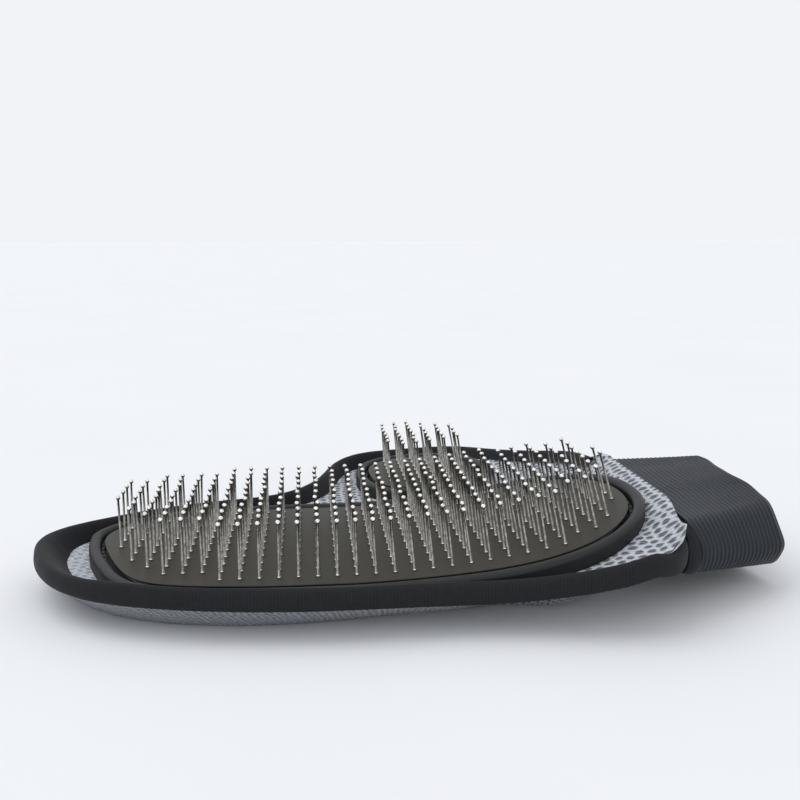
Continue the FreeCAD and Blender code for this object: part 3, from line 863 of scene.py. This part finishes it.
class GLOVE_OT_pins(bpy.types.Operator):
    """Ball-tipped steel pins, row by row"""
    bl_idname = "glove.pins"
    bl_label = "Steel pins"

    def execute(self, context):
        steel = polished_steel("nickel_plated_steel", "#C9C7C2", "#F2F1EC", 0.10, 0.22)
        # the wire's steel is a darker copy: painted shade for the dark surroundings that the wire mirrors
        shaded_wire_steel = polished_steel("shaded_steel_wire", "#6B6964", "#A09E98", 0.16, 0.30)
        draw = np.random.default_rng(7)
        turn = np.radians(np.linspace(-62, 78, 6))
        globe = [(PIN_BALL * math.cos(a), PIN_HEIGHT + PIN_BALL * math.sin(a)) for a in turn]
        head = [(0, -1.4), (1.0, -1.4), (1.0, -1.0), (PIN_WIRE, -1.0), (PIN_WIRE, 0.1)]
        collar = [(0.52, 0.12), (0.52, 0.42), (PIN_WIRE, 0.46)]
        neck = [(PIN_WIRE, PIN_HEIGHT - 0.66)]
        section = head + collar + neck + globe + [(0, PIN_HEIGHT + PIN_BALL)]
        for prefix, rows, grid_x in (("main", MAIN_ROWS, MAIN_GRID_X), ("thumb", THUMB_ROWS, THUMB_GRID_X)):
            for row in range(1, rows + 1):
                node = "%s_pin_row_%02d" % (prefix, row)
                bases = pin_bases(node, grid_x)
                tilts = draw.normal(0, 0.5, (len(bases), 2)).clip(-1, 1) * sizes().pin_tilt
                piece = turned("%s_pins_%02d" % (prefix, row), bases, PIN_SIDES, section, tilts)
                finish_piece(piece, prefix + "_cushion", steel, "steel_pins", node)
                piece.data.materials.append(shaded_wire_steel)
                by_ring(piece, len(bases), PIN_SIDES, PIN_BANDS)
        return {"FINISHED"}


def dress(node, material):
    """Gives a CAD node's own mesh a material."""
    piece = bpy.data.objects[node]
    for slot in piece.material_slots:
        slot.material = material
    if not piece.material_slots:
        piece.data.materials.append(material)


class GLOVE_OT_inner(bpy.types.Operator):
    """Foam, pin lock sheets and stitches, kept from the frame with their own finishes"""
    bl_idname = "glove.inner"
    bl_label = "Inner pieces"

    def execute(self, context):
        foam = open_cell_foam("open_cell_foam", "#3A3A3A", "#1C1C1C")
        felt = open_cell_foam("lock_felt", "#8A8A86", "#5C5C58")
        thread = spun_thread("spun_thread", "#101012", "#2A2A2E")
        for prefix in ("main", "thumb"):
            dress(prefix + "_foam", foam)
            dress(prefix + "_pin_lock_sheet", felt)
            dress(prefix + "_stitching", thread)
        return {"FINISHED"}


class GLOVE_OT_stage(bpy.types.Operator):
    """Table, soft lights, pale surroundings and the camera"""
    bl_idname = "glove.stage"
    bl_label = "Stage"

    def execute(self, context):
        scene = context.scene
        scene.view_settings.view_transform = "Standard"
        mesh = bpy.data.meshes.new("floor")
        corners = [(FLOOR_HALF * x, FLOOR_HALF * y, 0) for x, y in ((-1, -1), (1, -1), (1, 1), (-1, 1))]
        mesh.from_pydata(corners, [], [(0, 1, 2, 3)])
        floor = bpy.data.objects.new("floor", mesh)
        mesh.materials.append(painted_table("painted_table", "#E0E1E3", "#E2E3E5"))
        scene.collection.objects.link(floor)
        world = bpy.data.worlds.new("pale_room")
        world.use_nodes = True
        background = world.node_tree.nodes["Background"]
        background.inputs["Color"].default_value = linear("#F1F3F7")
        background.inputs["Strength"].default_value = 1.0
        scene.world = world
        for name, place, strength, spread in SUNS:
            data = bpy.data.lights.new(name, "SUN")
            data.energy = strength
            data.angle = math.radians(spread)
            light = bpy.data.objects.new(name, data)
            scene.collection.objects.link(light)
            light.matrix_world = facing(place, (0.0, 0.0, 0.0))
        data = bpy.data.cameras.new("camera")
        data.lens = CAMERA_LENS
        data.sensor_width = 36.0
        data.clip_start = 0.01
        camera = bpy.data.objects.new("camera", data)
        scene.collection.objects.link(camera)
        camera.matrix_world = heading(CAMERA_PLACE, *CAMERA_HEADING)
        scene.camera = camera
        return {"FINISHED"}


def facing(place, aim):
    """A light's placing at place, looking to aim."""
    back = np.array(place) - np.array(aim)
    back = back / np.linalg.norm(back)
    right = np.cross((0.0, 1.0, 0.0), back)
    right = right / np.linalg.norm(right)
    return placing(place, right, np.cross(back, right), back)


def heading(place, azimuth, down, roll):
    """A camera's placing from its heading east of +Y, its dip and its roll, in degrees."""
    a, d, r = (math.radians(v) for v in (azimuth, down, roll))
    ahead = np.array((math.sin(a) * math.cos(d), math.cos(a) * math.cos(d), -math.sin(d)))
    right = np.array((math.cos(a), -math.sin(a), 0.0))
    up = np.cross(right, ahead)
    across = math.cos(r) * right + math.sin(r) * up
    over = math.cos(r) * up - math.sin(r) * right
    return placing(place, across, over, -ahead)


def placing(place, right, up, back):
    """A placing matrix from a position and three axes."""
    matrix = Matrix.Identity(4)
    for column, axis in enumerate((right, up, back, place)):
        for row in range(3):
            matrix[row][column] = float(axis[row])
    return matrix


class GLOVE_PT_panel(bpy.types.Panel):
    """Buttons that build the glove piece by piece"""
    bl_idname = "GLOVE_PT_panel"
    bl_label = "Grooming glove"
    bl_space_type = "VIEW_3D"
    bl_region_type = "UI"
    bl_category = "Glove"

    def draw(self, context):
        for group in (context.scene.glove_sizes, context.scene.glove_colours):
            for name in group.__annotations__:
                self.layout.prop(group, name)
        for operator in OPERATORS:
            self.layout.operator(operator.bl_idname)


OPERATORS = (GLOVE_OT_stage, GLOVE_OT_back, GLOVE_OT_palm, GLOVE_OT_tape, GLOVE_OT_cuff, GLOVE_OT_cushions,
             GLOVE_OT_pins, GLOVE_OT_inner)
CLASSES = (GloveColours, GloveSizes) + OPERATORS + (GLOVE_PT_panel,)


def register():
    for item in CLASSES:
        bpy.utils.register_class(item)
    bpy.types.Scene.glove_colours = bpy.props.PointerProperty(type=GloveColours)
    bpy.types.Scene.glove_sizes = bpy.props.PointerProperty(type=GloveSizes)


def unregister():
    del bpy.types.Scene.glove_sizes
    del bpy.types.Scene.glove_colours
    for item in reversed(CLASSES):
        bpy.utils.unregister_class(item)


def main():
    register()
    for operator in OPERATORS:
        group, name = operator.bl_idname.split(".")
        getattr(getattr(bpy.ops, group), name)()


if __name__ == "__main__":
    main()
